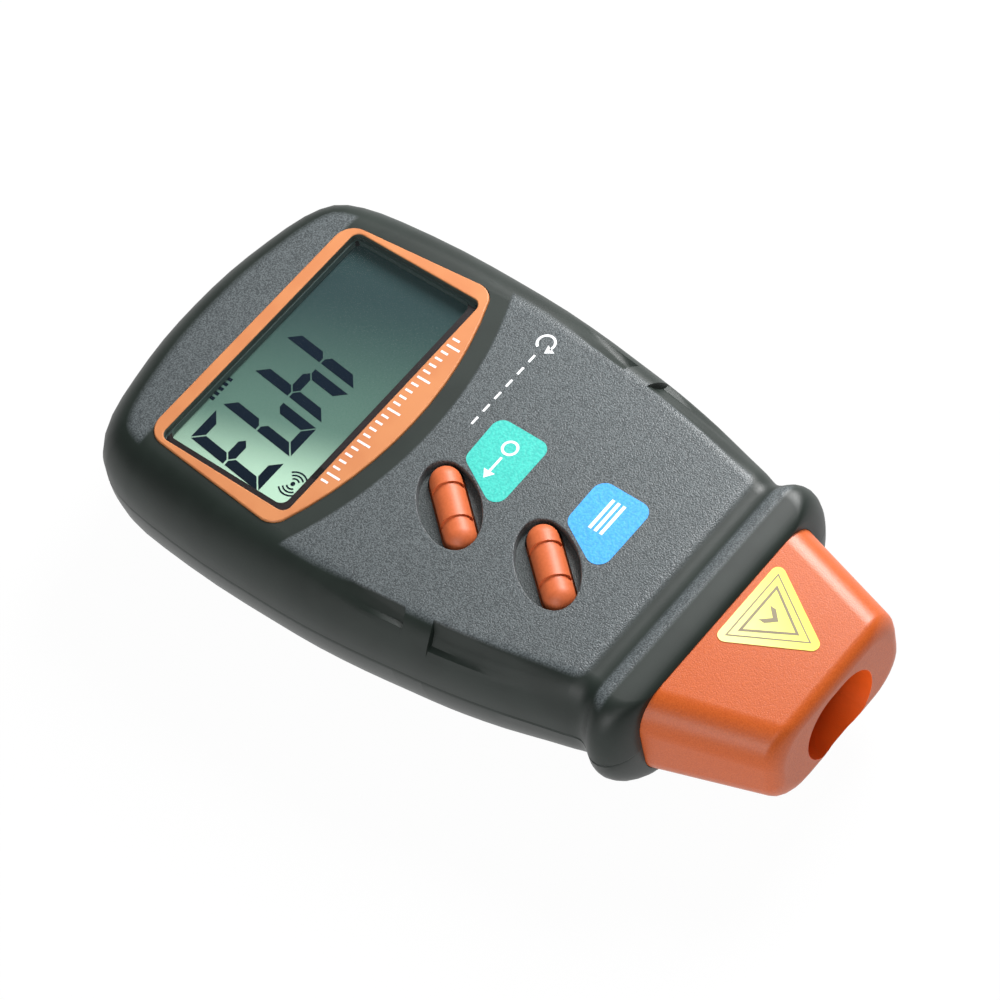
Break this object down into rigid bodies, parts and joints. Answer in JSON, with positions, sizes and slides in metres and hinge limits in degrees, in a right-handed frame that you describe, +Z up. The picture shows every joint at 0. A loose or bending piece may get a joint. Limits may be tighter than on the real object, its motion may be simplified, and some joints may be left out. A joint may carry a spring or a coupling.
{
  "type": "laser tachometer",
  "caption": "Handheld laser tachometer: waisted two-shell case, orange nose with oval mouth, framed display, tilted push buttons and a sliding battery door.",
  "frame": {"origin": "middle of the case's outline on the plane of the belly, at the bottom centre of the whole", "axes": "+Z up out of the display face, +Y towards the measuring nose, +X to the right when the display is read from the rear end"},
  "size_m": [0.0702, 0.1326, 0.029],
  "materials": {
    "case_upper": "fine moulded texture",
    "case_lower": "smooth satin",
    "door_plastic": "smooth satin",
    "nose_plastic": "fine moulded texture",
    "bezel_plastic": "printed, satin",
    "button_rubber": "satin",
    "clear_window": "clear, polished",
    "lcd_glass": "reflective display",
    "reflector": "matt foil",
    "white_plastic": "moulded",
    "black_plastic": "moulded",
    "zebra_rubber": "soft",
    "board_laminate": "solder mask",
    "black_resin": "potted",
    "crystal_can": "drawn can",
    "can_sleeve": "sleeved can",
    "resistor_ceramic": "chip",
    "foam": "open foam",
    "battery_sleeve": "plain printed sleeve",
    "nickel": "plated",
    "screw_steel": "zinc plated",
    "laser_brass": "turned",
    "red_lens": "tinted",
    "clear_lens": "polished",
    "photodiode_resin": "dark resin",
    "red_lead": "insulated wire",
    "black_lead": "insulated wire",
    "tinned_wire": "tinned",
    "sticker_paper": null
  },
  "bodies": {
    "case": {"top_shell": "case_upper", "bottom_shell": "case_lower", "battery_pad": "foam", "nose_cone": "nose_plastic", "display_bezel": "bezel_plastic", "display_window": "clear_window", "lcd_glass": "lcd_glass", "lcd_reflector": "reflector", "lcd_holder": "white_plastic", "zebra_strips": "zebra_rubber", "main_board": "board_laminate", "processor_blob": "black_resin", "quartz_crystal": "crystal_can", "capacitors": "can_sleeve", "board_resistors": "resistor_ceramic", "test_switch": "black_plastic", "mem_switch": "black_plastic", "optics_carrier": "black_plastic", "laser_module": "laser_brass", "laser_lens": "red_lens", "receiver_lens": "clear_lens", "photodiode": "photodiode_resin", "laser_leads": "red_lead", "photodiode_leads": "tinned_wire", "battery": "battery_sleeve", "battery_terminals": "nickel", "battery_clip": "black_plastic", "battery_lead_red": "red_lead", "battery_lead_black": "black_lead", "case_screws": "screw_steel", "board_screws": "screw_steel", "carrier_screws": "screw_steel", "aiming_sticker": "sticker_paper"},
    "test_key": {"test_button": "button_rubber", "test_plunger": "white_plastic"},
    "mem_key": {"mem_button": "button_rubber", "mem_plunger": "white_plastic"},
    "door": {"battery_door": "door_plastic"}
  },
  "joints": [
    {"name": "test_press", "type": "slide", "parent": "case", "child": "test_key", "axis": [0, 0, -1], "range_m": [0, 0.0005], "stiffness_N_per_m": 1500, "springref_m": -0.0003},
    {"name": "mem_press", "type": "slide", "parent": "case", "child": "mem_key", "axis": [0, 0, -1], "range_m": [0, 0.0005], "stiffness_N_per_m": 1500, "springref_m": -0.0003},
    {"name": "battery_door_slide", "type": "slide", "parent": "case", "child": "door", "axis": [0, -1, 0], "range_m": [0, 0.062]}
  ]
}
